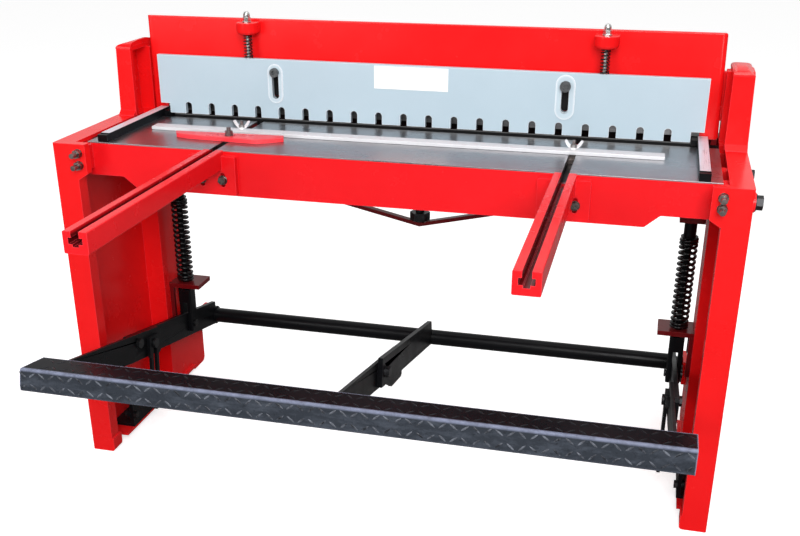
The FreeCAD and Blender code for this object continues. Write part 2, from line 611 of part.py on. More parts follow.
blade = prism_y([(-UPPER_BLADE_HALF, UPPER_EDGE_LOW), (UPPER_BLADE_HALF, UPPER_EDGE_HIGH),
                 (UPPER_BLADE_HALF, 856), (-UPPER_BLADE_HALF, 856)],
                SHEAR_Y + BLADE_GAP, back_y)
uscrews = []
for x in upper_x:
    y0 = SHEAR_Y + BLADE_GAP
    blade = blade.cut(cyl(x, y0 - 1, 846, 5.0, 12, "y"))
    blade = blade.cut(cyl(x, y0 - 1, 846, 8.0, 7.0, "y"))
    b = cyl(x, y0 + 5, 846, 5.0, 24, "y").fuse(cyl(x, y0 + 0.6, 846, 8.0, 5.4, "y"))
    b = b.cut(hexagon(x, y0, 846, 8.0, 4, "y"))
    uscrews.append(b)
export("upper_blade", blade)
export("upper_blade_screws", uscrews)

# half-round lugs that carry the hold-down rods
lugs = []
for lx, lug_r in zip(LUG_X, LUG_R):
    lug = cyl(lx, ROD_Y, LUG_Z0, lug_r, LUG_Z1 - LUG_Z0).fuse(
        box(lx - lug_r, lx + lug_r, ROD_Y, BEAM_FRONT, LUG_Z0, LUG_Z1)).removeSplitter()
    lug = round_edges(lug, 10.0, lambda e: e.CenterOfMass.z < LUG_Z0 + 0.5 and e.CenterOfMass.y < BEAM_FRONT - 1
                      and not along(e, "z"))
    lug = round_edges(lug, 2.0, lambda e: e.CenterOfMass.z > LUG_Z1 - 0.5 and e.CenterOfMass.y < BEAM_FRONT - 1
                      and not along(e, "z"))
    lug = lug.cut(cyl(lx, ROD_Y, LUG_Z0 - 1, 5.4, 40)).cut(box(lx - 40, lx + 40, BEAM_FRONT, BEAM_FRONT + 10,
                                                               LUG_Z0 - 1, LUG_Z1 + 1))
    lugs.append(lug)
export("rod_lugs", lugs)

# bolts with shoulders on which the hold-down plate hangs
hbolts = []
for x, head_r in zip(HD_BOLT_X, HD_HEAD_R):
    b = fuse([cyl(x, 294.5, HD_BOLT_Z, head_r, 9.0, "y"), cyl(x, 303, HD_BOLT_Z, 7.0, 49, "y"),
              cyl(x, 318.4, HD_BOLT_Z, 13.0, BEAM_FRONT - 318.4, "y")])
    b = b.cut(hexagon(x, 294, HD_BOLT_Z, 10.0, 6, "y", 10.0))
    hbolts.append(b)
export("hold_down_bolts", hbolts)

# brackets below the beam ends that press on the return springs
drop = fuse([box(694, 706, 342, 400, DROP_BOTTOM, 809.5), box(645, 706, 342, 400, DROP_BOTTOM, DROP_BOTTOM + 14),
             box(682, 694, 377, 400, 720, 884)])
drop = drop.cut(cyl(PULL_X, PULL_Y, 590, PULL_R, 40))
for z in (832.0, 866.0):
    drop = drop.cut(cyl(680, 388, z, 6.0, 16, "x"))
export("drop_brackets", pair(drop))
dbolts = []
for z in (832.0, 866.0):
    dbolts.append(fuse([hexagon(673, 388, z, 19.0, 9, "x"), cyl(682, 388, z, 6.0, BEAM_LEFT - 682, "x")]))
export("drop_bracket_bolts", [g for q in dbolts for g in (mirror(q), q)])

# pull rods with clevises, collars and nuts
rod = fuse([cyl(PULL_X, PULL_Y, 280, PULL_R, 368),
            hexagon(PULL_X, PULL_Y, DROP_BOTTOM + 14, 27.0, 14, "z", 30.0)])
export("pull_rods", pair(rod))
sleeve = fuse([cyl(PULL_X, PULL_Y, SPRING_TOP, 15.0, DROP_BOTTOM - SPRING_TOP),
               cyl(PULL_X, PULL_Y, SPRING_TOP, 21.0, 2.0)])
sleeve = sleeve.cut(cyl(PULL_X, PULL_Y, SPRING_TOP - 1, PULL_R, 50))
export("spring_sleeves", pair(sleeve))

# path of the clevis pin seen from the rod
reach = math.hypot(TUBE_Y - PIN_Y, PIN_Z - TUBE_Z)
lift = math.atan2(PIN_Z - TUBE_Z, TUBE_Y - PIN_Y)
pin_end_y = TUBE_Y - reach * math.cos(lift - math.radians(TREADLE_DEG))
clevis = box(655, 691, 342, 378, 176, 302)
clevis = round_edges(clevis, 4.0, lambda e: vertical(e))
clevis = clevis.cut(box(STUB_X[0] - 0.8, STUB_X[1] + 0.8, 340, 380, 170, 262))
clevis = clevis.cut(cyl(PULL_X, PULL_Y, 279, PULL_R, 30))
pin_r = 7.0
slot_r = pin_r + 0.6
clevis = clevis.cut(fuse([cyl(650, PIN_Y + 0.8, PIN_Z, slot_r, 50, "x"), cyl(650, pin_end_y - 0.8, PIN_Z, slot_r, 50, "x"),
                          box(650, 700, pin_end_y - 0.8, PIN_Y + 0.8, PIN_Z - slot_r, PIN_Z + slot_r)]))
export("rod_clevises", pair(clevis))

rs = coil(PULL_X, PULL_Y, SEAT_TOP, SPRING_TOP, SPRING_MEAN_R, SPRING_WIRE_R, SPRING_TURNS, 2.0)
export("return_springs", pair(rs))

# ---------------------------------------------------------------- hold-down plate
hd = box(-PLATE_LEFT, PLATE_HALF, PLATE_FRONT, PLATE_FRONT + PLATE_T, PLATE_BOTTOM, PLATE_TOP)
for x, (pad_r, pad_low, pad_high, _) in zip(HD_BOLT_X, HD_PADS):
    pad = fuse([cyl(x, PLATE_FRONT - 2.0, pad_high, pad_r, 3, "y"), cyl(x, PLATE_FRONT - 2.0, pad_low, pad_r, 3, "y"),
                box(x - pad_r, x + pad_r, PLATE_FRONT - 2.0, PLATE_FRONT + 1.0, pad_low, pad_high)])
    hd = hd.fuse(pad)
hd = hd.removeSplitter()
tools = []
for i in range(NOTCHES):
    x = (i - (NOTCHES - 1) / 2.0) * NOTCH_PITCH
    tools.append(fuse([box(x - NOTCH_W / 2, x + NOTCH_W / 2, 300, 324, PLATE_BOTTOM - 1,
                           PLATE_BOTTOM + NOTCH_H - NOTCH_W / 2),
                       cyl(x, 300, PLATE_BOTTOM + NOTCH_H - NOTCH_W / 2, NOTCH_W / 2, 24, "y")]))
for x, pads in zip(HD_BOLT_X, HD_PADS):
    tools.append(fuse([cyl(x, 300, HD_BOLT_Z, 8.5, 24, "y"), cyl(x, 300, pads[3], 8.5, 24, "y"),
                       box(x - 8.5, x + 8.5, 300, 324, pads[3], HD_BOLT_Z)]))
for lx in LUG_X:
    tools.append(cyl(lx, ROD_Y, 935, 5.0, 30))
for s in (-1, 1):
    tools.append(box(646 if s > 0 else -680, 680 if s > 0 else -646, 300, 324, 800, 832))
hd = cut(hd, tools)
hd = round_edges(hd, 2.0, lambda e: along(e, "x") and at(e, y=PLATE_FRONT, z=PLATE_TOP))
export("hold_down_plate", hd)
export("blank_plate", box(-104, 78, PLATE_FRONT - 0.8, PLATE_FRONT, 895, 949))

rods, caps = [], []
for lx in LUG_X:
    rods.append(cyl(lx, ROD_Y, 935, 5.0, 115))
    base = cyl(lx, ROD_Y, LUG_Z1 + 0.4, 11.0, 2.2)
    nut = hexagon(lx, ROD_Y, LUG_Z1 + 2.6, 17.0, 9.0, "z", 10.0)
    dome = cyl(lx, ROD_Y, LUG_Z1 + 11, 8.0, 8).fuse(
        Part.makeSphere(8.0, V(lx, ROD_Y, LUG_Z1 + 18.0)))
    dome = dome.cut(box(lx - 20, lx + 20, ROD_Y - 20, ROD_Y + 20, LUG_Z1 - 20, LUG_Z1 + 11))
    cap = fuse([base, nut, dome]).cut(cyl(lx, ROD_Y, 1036, 5.0, 14))
    caps.append(cap)
export("hold_down_rods", rods)
export("cap_nuts", caps)
export("hold_down_springs", [coil(lx, ROD_Y, PLATE_TOP, LUG_Z0, 9.6, 1.5, 8.0, 0.9) for lx in LUG_X])

# ---------------------------------------------------------------- treadle
SIDE_SLOPE = 0.2155


def side_top(y):
    return 190.0 + SIDE_SLOPE * (534.0 - y)


tube = Part.makeCylinder(TUBE_R, 2 * STUB_X[0], V(-STUB_X[0], TUBE_Y, TUBE_Z), V(1, 0, 0))
tube = tube.cut(Part.makeCylinder(TUBE_R - 4.5, 2 * STUB_X[0] - 80, V(-STUB_X[0] + 40, TUBE_Y, TUBE_Z), V(1, 0, 0)))
journal = cyl(STUB_X[0] - 1, TUBE_Y, TUBE_Z, JOURNAL_R, 711.0 - STUB_X[0] + 1, "x")
collar = cyl(STUB_X[1], TUBE_Y, TUBE_Z, 17.0, 700.5 - STUB_X[1], "x")
tube = fuse([tube, journal, mirror(journal), collar, mirror(collar)])
export("torque_tube", tube)

depth = 71.0
SIDE_JOINT = (38.0, 273.0)
CENTRE_JOINT = (4.0, 289.0)
stub = prism_x([(529, 192), (529, side_top(529) - depth + 2), (12, side_top(12) - depth),
                (2, side_top(2) - depth + 10), (-6, side_top(-6) - 8), (0, side_top(0))], STUB_X[0], STUB_X[1])
stub = stub.fuse(cyl(STUB_X[0], TUBE_Y, TUBE_Z, 27.0, STUB_X[1] - STUB_X[0], "x")).removeSplitter()
stub = stub.cut(cyl(660, TUBE_Y, TUBE_Z, JOURNAL_R, 40, "x"))
stub = stub.cut(cyl(660, PIN_Y, PIN_Z, pin_r, 40, "x"))
stub = stub.cut(cyl(660, LINK_TOP_Y, LINK_TOP_Z, 7.0, 40, "x"))
stub = stub.cut(cyl(660, SIDE_JOINT[0], SIDE_JOINT[1], 8.0, 40, "x"))
export("lever_stubs", pair(stub))

side = prism_x([(148, side_top(148)), (158, side_top(158) - 12), (158, side_top(158) - depth + 12),
                (148, side_top(148) - depth), (0, side_top(0) - depth), (BAR_BACK, 327), (-397, 352),
                (-397, BAR_TOP - 5), (BAR_BACK - 4, BAR_TOP - 5), (BAR_BACK, 384)], ARM_X[0], ARM_X[1])
side = side.cut(cyl(650, LINK_TOP_Y, LINK_TOP_Z, 7.0, 40, "x"))
side = side.cut(cyl(650, SIDE_JOINT[0], SIDE_JOINT[1], 8.0, 40, "x"))
side = side.cut(box(650, 680, -410, BAR_BACK, 330, BAR_BOTTOM + 5.2)).removeSplitter()
side = max(side.Solids, key=lambda q: q.Volume)
export("side_arms", pair(side))


def centre_bottom(y):
    return 134.0 + 0.2437 * (497.0 - y)


c_rear = prism_x([(517, centre_bottom(517) + 74.5), (523, 168), (523, centre_bottom(517) + 2), (40, centre_bottom(40)),
                  (-33, centre_bottom(-33)), (-21, centre_bottom(-21) + 74.5)], -10, 2)
c_rear = c_rear.cut(cyl(-20, TUBE_Y, TUBE_Z, TUBE_R, 40, "x"))
c_rear = max(c_rear.Solids, key=lambda q: q.Volume)
c_rear = c_rear.cut(cyl(-20, CENTRE_JOINT[0], CENTRE_JOINT[1], 8.0, 40, "x"))
export("centre_arm_rear", c_rear)
c_front = prism_x([(156, 284), (205, 250), (212, 230), (212, 186), (206, 178), (108, 196), (60, 228), (23, 243),
                   (-83, 269), (BAR_BACK, 332), (-397, 352), (-397, BAR_TOP - 5), (BAR_BACK - 4, BAR_TOP - 5),
                   (BAR_BACK, 396), (-303, 387)], -19, -10)
c_front = c_front.cut(cyl(-30, CENTRE_JOINT[0], CENTRE_JOINT[1], 8.0, 40, "x"))
c_front = c_front.cut(box(-30, 0, -410, BAR_BACK, 330, BAR_BOTTOM + 5.2)).removeSplitter()
c_front = max(c_front.Solids, key=lambda q: q.Volume)
export("centre_arm_front", c_front)

jb = []
jy, jz = SIDE_JOINT
for s in (-1, 1):
    b = fuse([hexagon(ARM_X[0] - 8, jy, jz, 24.0, 8, "x", 20.0),
              cyl(ARM_X[0] - 1, jy, jz, 8.0, STUB_X[1] - ARM_X[0] + 1, "x")])
    jb.append(b if s > 0 else mirror(b))
jy, jz = CENTRE_JOINT
jb.append(fuse([hexagon(3.6, jy, jz, 24.0, 10, "x", 10.0), cyl(2, jy, jz, 14.0, 1.6, "x"),
                cyl(-29, jy, jz, 8.0, 36, "x"), hexagon(-29, jy, jz, 24.0, 10, "x", 20.0)]))
export("arm_joint_bolts", jb)

bar_outer = box(-BAR_HALF, BAR_HALF, BAR_FRONT, BAR_BACK, BAR_BOTTOM, BAR_TOP)
bar_outer = round_edges(bar_outer, 4.0, lambda e: along(e, "x") and at(e, y=BAR_FRONT))
bar_in = box(-BAR_HALF - 1, BAR_HALF + 1, BAR_FRONT + 5, BAR_BACK + 1, BAR_BOTTOM + 5, BAR_TOP - 5)
bar_in = round_edges(bar_in, 1.0, lambda e: along(e, "x") and at(e, y=BAR_FRONT + 5))
tread = bar_outer.cut(bar_in)
bevel = []                                  # the left end is sawn off at an angle
for z in (340.0, 415.0):
    d = -0.164 * (BAR_TOP - z)
    bevel.append(Part.makePolygon([V(-740, -420, z), V(-695.4 - 4.9 + d, -420, z), V(-676.3 + 3.1 + d, -332, z),
                                   V(-740, -332, z), V(-740, -420, z)]))
tread = tread.cut(Part.makeLoft(bevel, True, True))
export("treadle_bar", tread)

cp = fuse([cyl(650, PIN_Y, PIN_Z, pin_r, 43, "x"), cyl(691.6, PIN_Y, PIN_Z, 11.0, 5, "x"),
           cyl(650, PIN_Y, PIN_Z, 10.0, 4.2, "x")])
export("clevis_pins", pair(cp))
lp = fuse([cyl(645, LINK_TOP_Y, LINK_TOP_Z, 7.0, 44, "x"), cyl(644, LINK_TOP_Y, LINK_TOP_Z, 13.0, 5.4, "x"),
           cyl(STUB_X[1], LINK_TOP_Y, LINK_TOP_Z, 13.0, 2.0, "x"),
           hexagon(STUB_X[1] + 2, LINK_TOP_Y, LINK_TOP_Z, 22.0, 9, "x")])
export("link_pins", pair(lp))

# ---------------------------------------------------------------- stop links
ang = math.atan2(LINK_TOP_Y - LINK_FOOT_Y, LINK_TOP_Z - LINK_FOOT_Z)
dist = math.hypot(LINK_TOP_Y - LINK_FOOT_Y, LINK_TOP_Z - LINK_FOOT_Z)
radius = math.hypot(TUBE_Y - LINK_TOP_Y, LINK_TOP_Z - TUBE_Z)
a0 = math.atan2(LINK_TOP_Z - TUBE_Z, TUBE_Y - LINK_TOP_Y)
a1 = a0 - math.radians(TREADLE_DEG)
end_y, end_z = TUBE_Y - radius * math.cos(a1), TUBE_Z + radius * math.sin(a1)
end_dist = math.hypot(end_y - LINK_FOOT_Y, end_z - LINK_FOOT_Z)
slot_half = 9.0
x0, x1 = LINK_X
link = fuse([cyl(x0, 0, 0, 20.0, x1 - x0, "x"), box(x0, x1, -20, 20, 0, dist - 26),
             box(x0, x1, -26, 26, dist - 34, dist + 20)])
link = round_edges(link, 4.0, lambda e: along(e, "x") and e.CenterOfMass.z > dist - 30)
slot_top, slot_end = dist - 1.6, end_dist + 1.4
link = link.cut(fuse([cyl(x0 - 1, 0, slot_top, slot_half, 12, "x"), cyl(x0 - 1, 0, slot_end, slot_half, 12, "x"),
                      box(x0 - 1, x1 + 1, -slot_half, slot_half, slot_end, slot_top)]))
link = link.cut(cyl(x0 - 1, 0, 0, 8.0 + RUN_GAP, 20, "x"))
link.rotate(V(0, 0, 0), V(1, 0, 0), -math.degrees(ang))
link.translate(V(0, LINK_FOOT_Y, LINK_FOOT_Z))
export("stop_link_right", link)
export("stop_link_left", mirror(link))

# ---------------------------------------------------------------- stop bar, its bolts and wing nuts
sb = box(-621, 592, BAR_Y[0], BAR_Y[1], TABLE_TOP + 0.3, TABLE_TOP + 8.3)
sb = round_edges(sb, 0.8, lambda e: along(e, "x"))
sb.rotate(V(592, 171, 0), V(0, 0, 1), 0.3)
for sx in SLOT_X:
    sb = sb.cut(cyl(sx, STOP_BOLT_Y, TABLE_TOP - 1, 4.0, 12))
export("stop_bar", sb)


def tee_bolt(sx, y, r, top):
    head = box(sx - 13, sx + 13, y - 13, y + 13, TEE_BOTTOM + 1.0, TEE_BOTTOM + 10.5)
    neck = box(sx - 7.6, sx + 7.6, y - 7.6, y + 7.6, TEE_BOTTOM + 10, TABLE_TOP - 0.5)
    return fuse([head, neck, cyl(sx, y, TABLE_TOP - 1, r, top - TABLE_TOP + 1)])


export("stop_bar_bolts", [tee_bolt(sx, STOP_BOLT_Y, 4.0, 828) for sx in SLOT_X])


def wing_nut(sx, y, z0):
    hub = cone(sx, y, z0, 9.0, 6.5, 10)
    out = [hub]
    for s in (-1, 1):
        pts = [(5.0, z0 + 1.5), (10.5, z0 + 2.5), (16.0, z0 + 8.5), (20.8, z0 + 17.0), (20.0, z0 + 19.2),
               (18.0, z0 + 20.0), (15.2, z0 + 19.2), (9.5, z0 + 11.0), (6.0, z0 + 8.0)]
        w = prism_y([(s * a, b) for a, b in pts], y - 2.5, y + 2.5)
        w.translate(V(sx, 0, 0))
        out.append(w)
    n = fuse(out)
    n = round_edges(n, 1.2, lambda e: along(e, "y") and abs(e.CenterOfMass.x - sx) > 14)
    return n.cut(cyl(sx, y, z0 - 1, 4.0 + RUN_GAP, 30))


wing_z = TABLE_TOP + 8.6
for name, sx in (("wing_nut_left", SLOT_X[0]), ("wing_nut_right", SLOT_X[1])):
    export(name, wing_nut(sx, STOP_BOLT_Y, wing_z))

# ---------------------------------------------------------------- angle gauge and its bolt
gx = SLOT_X[0]
gauge_bar = prism_z([(-541, 114), (-529, 89.5), (-493, 80.5), (-320, 70.5), (-268, 106), (-275, 127.5)],
                    TABLE_TOP + 0.3, TABLE_TOP + 10.3)
gauge_bar = round_edges(gauge_bar, 1.5, lambda e: e.CenterOfMass.z > TABLE_TOP + 10)
gauge_bar = gauge_bar.cut(cyl(gx, GAUGE_BOLT_Y, TABLE_TOP - 1, 5.0 + RUN_GAP, 14))
export("angle_gauge", gauge_bar)
gb = tee_bolt(gx, GAUGE_BOLT_Y, 5.0, 830)
gb = fuse([gb, cyl(gx, GAUGE_BOLT_Y, TABLE_TOP + 10.7, 10.0, 1.8),
           hexagon(gx, GAUGE_BOLT_Y, TABLE_TOP + 12.5, 16.0, 9.5, "z", 10.0)])
export("gauge_bolt", gb)
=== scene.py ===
import json
import math
import random

import bmesh
import bpy
from mathutils import Matrix, Vector


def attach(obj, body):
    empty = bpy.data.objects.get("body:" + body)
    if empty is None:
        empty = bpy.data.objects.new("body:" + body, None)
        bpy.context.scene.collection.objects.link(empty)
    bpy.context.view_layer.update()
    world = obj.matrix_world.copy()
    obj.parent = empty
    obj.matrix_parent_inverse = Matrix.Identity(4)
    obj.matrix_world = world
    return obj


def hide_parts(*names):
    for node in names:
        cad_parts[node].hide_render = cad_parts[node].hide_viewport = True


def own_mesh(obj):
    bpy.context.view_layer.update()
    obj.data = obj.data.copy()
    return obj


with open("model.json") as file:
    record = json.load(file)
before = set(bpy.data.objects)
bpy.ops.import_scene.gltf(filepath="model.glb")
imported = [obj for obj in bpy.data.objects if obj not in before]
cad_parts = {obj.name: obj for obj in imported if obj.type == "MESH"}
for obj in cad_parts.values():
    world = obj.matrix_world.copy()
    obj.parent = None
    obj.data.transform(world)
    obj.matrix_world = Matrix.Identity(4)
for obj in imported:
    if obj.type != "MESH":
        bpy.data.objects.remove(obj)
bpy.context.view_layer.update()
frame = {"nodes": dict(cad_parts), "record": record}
nodes = frame["nodes"]

# Offset from the drawing's own coordinates (mm) to the shared frame (m).
X_SHIFT, Y_SHIFT = -4.7, 14.0


def P(x, y, z):
    return Vector(((x + X_SHIFT) / 1000.0, (y + Y_SHIFT) / 1000.0, z / 1000.0))


# ------------------------------------------------------------------ node helpers
class Mat:
    """Small builder around one material's node tree."""

    def __init__(self, name):
        self.m = bpy.data.materials.new(name)
        self.m.use_nodes = True
        self.t = self.m.node_tree
        self.t.nodes.clear()
        self.out = self.t.nodes.new("ShaderNodeOutputMaterial")
        self.bsdf = self.t.nodes.new("ShaderNodeBsdfPrincipled")
        self.t.links.new(self.bsdf.outputs[0], self.out.inputs[0])
        self.tc = self.t.nodes.new("ShaderNodeTexCoord")
        self.geo = self.t.nodes.new("ShaderNodeNewGeometry")

    def n(self, kind, **kw):
        node = self.t.nodes.new(kind)
        for k, v in kw.items():
            setattr(node, k, v)
        return node

    def link(self, a, b):
        self.t.links.new(a, b)

    def set(self, **kw):
        for k, v in kw.items():
            self.bsdf.inputs[k.replace("_", " ")].default_value = v

    def coords(self, scale=(1, 1, 1)):
        mp = self.n("ShaderNodeMapping")
        mp.inputs["Scale"].default_value = scale
        self.link(self.tc.outputs["Object"], mp.inputs["Vector"])
        return mp.outputs[0]

    def noise(self, scale, detail=3.0, rough=0.5, stretch=(1, 1, 1)):
        t = self.n("ShaderNodeTexNoise")
        t.inputs["Scale"].default_value = scale
        t.inputs["Detail"].default_value = detail
        t.inputs["Roughness"].default_value = rough
        self.link(self.coords(stretch), t.inputs["Vector"])
        return t.outputs["Fac"]

    def ramp(self, fac, stops):
        r = self.n("ShaderNodeValToRGB")
        el = r.color_ramp.elements
        while len(el) > len(stops):
            el.remove(el[-1])
        while len(el) < len(stops):
            el.new(0.5)
        for e, (pos, col) in zip(el, stops):
            e.position = pos
            e.color = tuple(col) + (1.0,) if len(col) == 3 else tuple(col)
        self.link(fac, r.inputs[0])
        return r.outputs[0]

    def span(self, fac, a, b, lo, hi):
        r = self.n("ShaderNodeMapRange")
        r.inputs["From Min"].default_value = a
        r.inputs["From Max"].default_value = b
        r.inputs["To Min"].default_value = lo
        r.inputs["To Max"].default_value = hi
        self.link(fac, r.inputs["Value"])
        return r.outputs[0]

    def math(self, op, a, b=None, clamp=False):
        m = self.n("ShaderNodeMath", operation=op)
        m.use_clamp = clamp
        for i, v in enumerate((a, b)):
            if v is None:
                continue
            if isinstance(v, (int, float)):
                m.inputs[i].default_value = v
            else:
                self.link(v, m.inputs[i])
        return m.outputs[0]

    def mix(self, fac, a, b, blend="MIX"):
        m = self.n("ShaderNodeMix", data_type="RGBA", blend_type=blend)
        if isinstance(fac, (int, float)):
            m.inputs[0].default_value = fac
        else:
            self.link(fac, m.inputs[0])
        for i, v in ((6, a), (7, b)):
            if isinstance(v, tuple):
                m.inputs[i].default_value = tuple(v) + (1.0,) if len(v) == 3 else v
            else:
                self.link(v, m.inputs[i])
        return m.outputs[2]

    def bump(self, height, strength, distance, normal=None):
        b = self.n("ShaderNodeBump")
        b.inputs["Strength"].default_value = strength
        b.inputs["Distance"].default_value = distance
        self.link(height, b.inputs["Height"])
        if normal is not None:
            self.link(normal, b.inputs["Normal"])
        return b.outputs[0]

    def edges(self, radius=0.0022, lo=0.012, hi=0.16):
        """1 on rounded corners, 0 on open faces."""
        b = self.n("ShaderNodeBevel", samples=4)
        b.inputs["Radius"].default_value = radius
        d = self.n("ShaderNodeVectorMath", operation="DOT_PRODUCT")
        self.link(b.outputs[0], d.inputs[0])
        self.link(self.geo.outputs["True Normal"], d.inputs[1])
        return self.span(self.math("SUBTRACT", 1.0, d.outputs["Value"]), lo, hi, 0.0, 1.0)

    def facing_up(self, lo=0.85, hi=0.95):
        s = self.n("ShaderNodeSeparateXYZ")
        self.link(self.tc.outputs["Normal"], s.inputs[0])
        return self.span(s.outputs[2], lo, hi, 0.0, 1.0)

    def xyz(self):
        s = self.n("ShaderNodeSeparateXYZ")
        self.link(self.tc.outputs["Object"], s.inputs[0])
        return s.outputs

    def color(self, c):
        self.link(c, self.bsdf.inputs["Base Color"])

    def rough(self, r):
        self.link(r, self.bsdf.inputs["Roughness"])

    def normal(self, n):
        self.link(n, self.bsdf.inputs["Normal"])


def paint(name, main, dark, light, rough=(0.16, 0.30), peel=0.10, coat=0.6, coat_rough=0.06, worn=(0.30, 0.26, 0.25),
          wear=0.25, dust=0.05, dust_col=(0.42, 0.36, 0.33), rim=0.4, rim_col=None, extra=None, gloss=0.17, edge_r=0.0022):
    """Sprayed gloss paint on castings and plates: slow tone drift, orange peel, dust on what faces up,
    rubbed edges and a painted highlight along the rounded edges."""
    m = Mat(name)
    slow = m.noise(3.2, 3.0, 0.55)
    fine = m.noise(42.0, 5.0, 0.6)
    c = m.ramp(slow, [(0.22, dark), (0.55, main), (0.86, light)])
    c = m.mix(m.span(fine, 0.35, 0.75, 0.0, 0.22), c, dark)
    speck = m.noise(420.0, 2.0, 0.5)
    c = m.mix(m.span(speck, 0.60, 0.80, 0.0, 0.25), c, light)
    # dust settles on what faces up
    cloud = m.noise(9.0, 6.0, 0.65)
    up = m.facing_up(0.4, 0.95)
    d = m.math("MULTIPLY", m.span(cloud, 0.40, 0.75, 0.0, 1.0), m.span(up, 0.0, 1.0, dust * 0.12, dust), True)
    c = m.mix(d, c, dust_col)
    # rounded corners: a painted highlight along them, and chips of rubbed paint
    chip = m.noise(150.0, 4.0, 0.7)
    edge = m.edges(edge_r)
    if extra is not None:
        c = extra(m, c)
    # painted highlight: the rounded edges are lightened towards a lighter tone, as if catching the light
    c = m.mix(m.math("MULTIPLY", edge, rim, True), c, rim_col or light)
    e = m.math("MULTIPLY", edge, m.span(chip, 0.56, 0.68, 0.0, wear), True)
    c = m.mix(e, c, worn)
    m.color(c)
    r = m.span(m.noise(14.0, 4.0, 0.6), 0.3, 0.75, rough[0], rough[1])
    r = m.math("ADD", r, m.math("MULTIPLY", d, 1.2), True)
    m.rough(r)
    m.set(Coat_Weight=coat, Coat_Roughness=coat_rough, Specular_IOR_Level=gloss)
    h = m.math("ADD", m.noise(170.0, 2.0, 0.5), m.math("MULTIPLY", m.noise(28.0, 2.0, 0.5), 1.4))
    nrm = m.bump(h, peel, 0.0006)
    m.normal(nrm)
    m.link(nrm, m.bsdf.inputs["Coat Normal"])
    return m.m


def steel(name, main, dark, rough=(0.20, 0.34), grain=(1, 1, 1), grain_scale=60.0, stain=0.25, stain_col=(0.20, 0.17, 0.15),
          scratch=0.12, metallic=1.0, aniso=0.0, extra=None):
    """Ground or machined steel: fine lines along one axis, cloudy patches, a few scratches."""
    m = Mat(name)
    lines = m.noise(grain_scale, 6.0, 0.7, grain)
    cloud = m.noise(5.0, 5.0, 0.6)
    c = m.ramp(lines, [(0.30, dark), (0.62, main)])
    c = m.mix(m.span(cloud, 0.48, 0.80, 0.0, stain), c, stain_col)
    if extra is not None:
        c = extra(m, c)
    m.color(c)
    r = m.span(lines, 0.3, 0.7, rough[0], rough[1])
    r = m.math("ADD", r, m.span(cloud, 0.45, 0.8, 0.0, 0.12), True)
    m.rough(r)
    m.set(Metallic=metallic, Anisotropic=aniso)
    nrm = m.bump(lines, scratch, 0.0002)
    m.normal(nrm)
    return m.m


# ------------------------------------------------------------------ materials
HD_PADS = ((-357.0, 0.019, 0.866, 0.922), (355.0, 0.022, 0.867, 0.925))


def pads(m, c):
    """Lighter raised pads round the hold-down plate's slots, with a painted highlight along their rim and painted shade
    on the slot walls.
    """
    x, _, z = m.xyz()
    for cx, r, z0, z1 in HD_PADS:
        dx = m.math("SUBTRACT", x, (cx + X_SHIFT) / 1000.0)
        dz = m.math("MAXIMUM", m.math("SUBTRACT", z, z1), m.math("SUBTRACT", z0, z))
        dz = m.math("MAXIMUM", dz, 0.0)
        d = m.math("SQRT", m.math("ADD", m.math("MULTIPLY", dx, dx), m.math("MULTIPLY", dz, dz)))
        inside = m.span(d, r + 0.0012, r + 0.0004, 0.0, 1.0)
        rim = m.math("MULTIPLY", m.span(d, r - 0.0042, r - 0.0028, 0.0, 1.0), inside, True)
        c = m.mix(m.math("MULTIPLY", inside, 0.30), c, (0.60, 0.68, 0.73))
        # painted highlight along the pad's rim
        c = m.mix(m.math("MULTIPLY", rim, 0.26), c, (0.86, 0.88, 0.90))
        # painted shade: the slot's own walls are darkened as they lie in shadow
        wall = m.math("MULTIPLY", m.span(d, 0.0098, 0.0088, 0.0, 1.0), m.span(m.xyz()[2], 0.8, 0.9, 1.0, 1.0), True)
        c = m.mix(m.math("MULTIPLY", wall, 0.45), c, (0.12, 0.15, 0.17))
    return c


def shade_behind_slots(m, c):
    """Painted shade: dark patches on the beam's front face behind the hold-down plate's slots, so the slots read as
    shadowed.
    """
    x, y, z = m.xyz()
    s = m.n("ShaderNodeSeparateXYZ")
    m.link(m.tc.outputs["Normal"], s.inputs[0])
    front = m.span(s.outputs[1], -0.50, -0.90, 0.0, 1.0)
    for cx, _, z0, z1 in HD_PADS:
        dx = m.math("ABSOLUTE", m.math("SUBTRACT", x, (cx + X_SHIFT) / 1000.0))
        wide = m.span(dx, 0.0245, 0.0235, 0.0, 1.0)
        tall = m.math("MULTIPLY", m.span(z, z0 - 0.050, z0 - 0.048, 0.0, 1.0), m.span(z, z1 + 0.014, z1 + 0.012, 0.0, 1.0), True)
        slot_shade = m.math("MULTIPLY", m.math("MULTIPLY", wide, tall, True), front, True)
        c = m.mix(slot_shade, c, (0.020, 0.020, 0.022))
    return c


def shade_deep_in_slots(m, c):
    """Painted shade deep in the arms' tee slots and in the apron's mouths: darker the deeper it lies."""
    x, y, z = m.xyz()
    s = m.n("ShaderNodeSeparateXYZ")
    m.link(m.tc.outputs["Normal"], s.inputs[0])
    side = m.span(s.outputs[1], -0.90, -0.50, 0.0, 1.0)
    for cx in (-398.0, 393.0):
        dx = m.math("ABSOLUTE", m.math("SUBTRACT", x, (cx + X_SHIFT) / 1000.0))
        wide = m.span(dx, 0.0150, 0.0146, 0.0, 1.0)
        deep = m.span(z, 0.7992, 0.7930, 0.0, 0.90)
        inside = m.math("MULTIPLY", m.math("MULTIPLY", wide, deep, True), side, True)
        c = m.mix(inside, c, (0.050, 0.004, 0.005))
    return c
